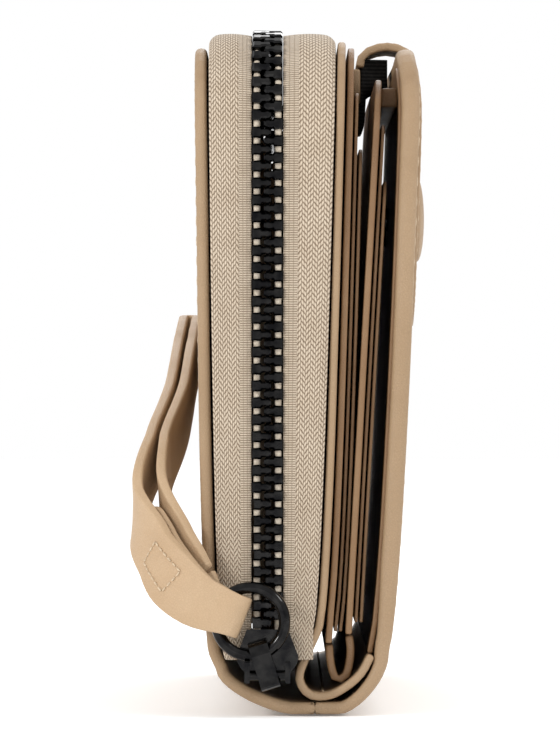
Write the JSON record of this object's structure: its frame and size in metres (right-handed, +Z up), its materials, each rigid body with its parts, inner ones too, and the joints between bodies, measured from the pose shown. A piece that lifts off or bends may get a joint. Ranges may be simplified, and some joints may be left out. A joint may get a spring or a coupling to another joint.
{
  "type": "zip around wallet",
  "caption": "Leather zip around wallet standing on its spine: zipped compartment with a coin pocket, snap flap with bill pocket and card slots, wrist strap on the slider's ring.",
  "frame": {"origin": "middle of the flat underside of the spine, where the wallet stands", "axes": "+X from the zip compartment's cover to the flap, +Y from the end with the slider to the far end, +Z up"},
  "size_m": [0.0474, 0.1603, 0.1075],
  "materials": {
    "cover_leather": "smooth tan leather, semi matt, fine grain",
    "lining_leather": "darker brown leather, semi matt",
    "zip_tape": "beige herringbone woven tape",
    "lining_cloth": "plain woven lining",
    "gunmetal": "polished black nickel"
  },
  "bodies": {
    "back": {"spine_cover": "cover_leather", "spine_lining": "cover_leather", "back_panel": "cover_leather", "back_lining": "lining_cloth", "back_card_slot_1": "lining_leather", "back_card_slot_2": "lining_leather", "back_page": "lining_leather", "back_page_slot_1": "lining_leather", "back_page_slot_2": "lining_leather", "back_zip_tape": "zip_tape", "back_zip_teeth": "gunmetal", "zip_stop_near": "gunmetal", "zip_stop_far": "gunmetal", "tab_root": "cover_leather", "inner_spine_strip": "lining_leather", "near_gusset": "lining_cloth", "far_gusset": "lining_cloth"},
    "front": {"front_cover": "cover_leather", "front_lining": "lining_cloth", "front_card_slot_1": "lining_leather", "front_card_slot_2": "lining_leather", "front_card_slot_3": "lining_leather", "front_zip_tape": "zip_tape", "front_zip_teeth": "gunmetal"},
    "coin_pocket": {"coin_pocket_front": "lining_leather", "coin_pocket_back": "lining_leather", "coin_pocket_base": "lining_leather", "coin_zip_tape_front": "zip_tape", "coin_zip_tape_back": "zip_tape", "coin_zip_teeth_front": "gunmetal", "coin_zip_teeth_back": "gunmetal"},
    "coin_slider": {"coin_slider": "gunmetal"},
    "coin_pull": {"coin_pull": "gunmetal"},
    "slider": {"zip_slider": "gunmetal"},
    "pull_link": {"pull_link": "gunmetal"},
    "ring": {"strap_ring": "gunmetal"},
    "strap": {"strap_band": "cover_leather", "strap_patch": "cover_leather"},
    "flap": {"flap_cover": "cover_leather", "flap_lining": "lining_leather", "flap_page": "lining_leather", "flap_page_slot_1": "lining_leather", "flap_page_slot_2": "lining_leather", "snap_stud": "gunmetal"},
    "tab": {"closure_tab": "cover_leather", "snap_socket": "gunmetal", "snap_cap": "cover_leather"}
  },
  "joints": [
    {"name": "front_open", "type": "hinge", "parent": "back", "child": "front", "pos_m": [-0.0149, 0, 0.007], "axis": [0, -1, 0], "range_deg": [0, 40], "deforming": ["near_gusset", "far_gusset", "front_zip_tape", "front_zip_teeth", "back_zip_tape", "back_zip_teeth"]},
    {"name": "coin_pocket_swing", "type": "hinge", "parent": "back", "child": "coin_pocket", "pos_m": [-0.0062, 0, 0.0082], "axis": [0, -1, 0], "range_deg": [0, 20], "deforming": ["near_gusset", "far_gusset"]},
    {"name": "coin_slider_slide", "type": "slide", "parent": "coin_pocket", "child": "coin_slider", "axis": [0, 1, 0], "range_m": [0, 0.098], "deforming": ["coin_zip_teeth_front", "coin_zip_teeth_back"]},
    {"name": "coin_pull_swing", "type": "hinge", "parent": "coin_slider", "child": "coin_pull", "pos_m": [-0.0062, -0.057, 0.0944], "axis": [1, 0, 0], "range_deg": [0, 85]},
    {"name": "zip_slide", "type": "slide", "parent": "front", "child": "slider", "axis": [0, 0, 1], "range_m": [0, 0.07], "deforming": ["front_zip_teeth", "back_zip_teeth"]},
    {"name": "pull_swing", "type": "hinge", "parent": "slider", "child": "pull_link", "pos_m": [-0.0069, -0.0803, 0.0062], "axis": [1, 0, 0], "range_deg": [0, 75]},
    {"name": "ring_swing", "type": "hinge", "parent": "pull_link", "child": "ring", "pos_m": [-0.00793, -0.0803, 0.00954], "axis": [0.9553, 0, 0.2957], "range_deg": [0, 50]},
    {"name": "strap_swing", "type": "hinge", "parent": "ring", "child": "strap", "pos_m": [-0.01442, -0.0803, 0.01659], "axis": [0.3746, 0, 0.9272], "range_deg": [0, 80], "deforming": ["strap_band"]},
    {"name": "flap_open", "type": "hinge", "parent": "back", "child": "flap", "pos_m": [0.0121, 0, 0.0095], "axis": [0, 1, 0], "range_deg": [0, 90], "deforming": ["inner_spine_strip", "closure_tab", "snap_cap", "snap_socket"]},
    {"name": "tab_open", "type": "hinge", "parent": "back", "child": "tab", "pos_m": [0.0082, 0, 0.1034], "axis": [0, -1, 0], "range_deg": [0, 115], "deforming": ["closure_tab"]}
  ],
  "couplings": [
    {"joint": "coin_pocket_swing", "follows": "front_open", "ratio": 0.5}
  ]
}
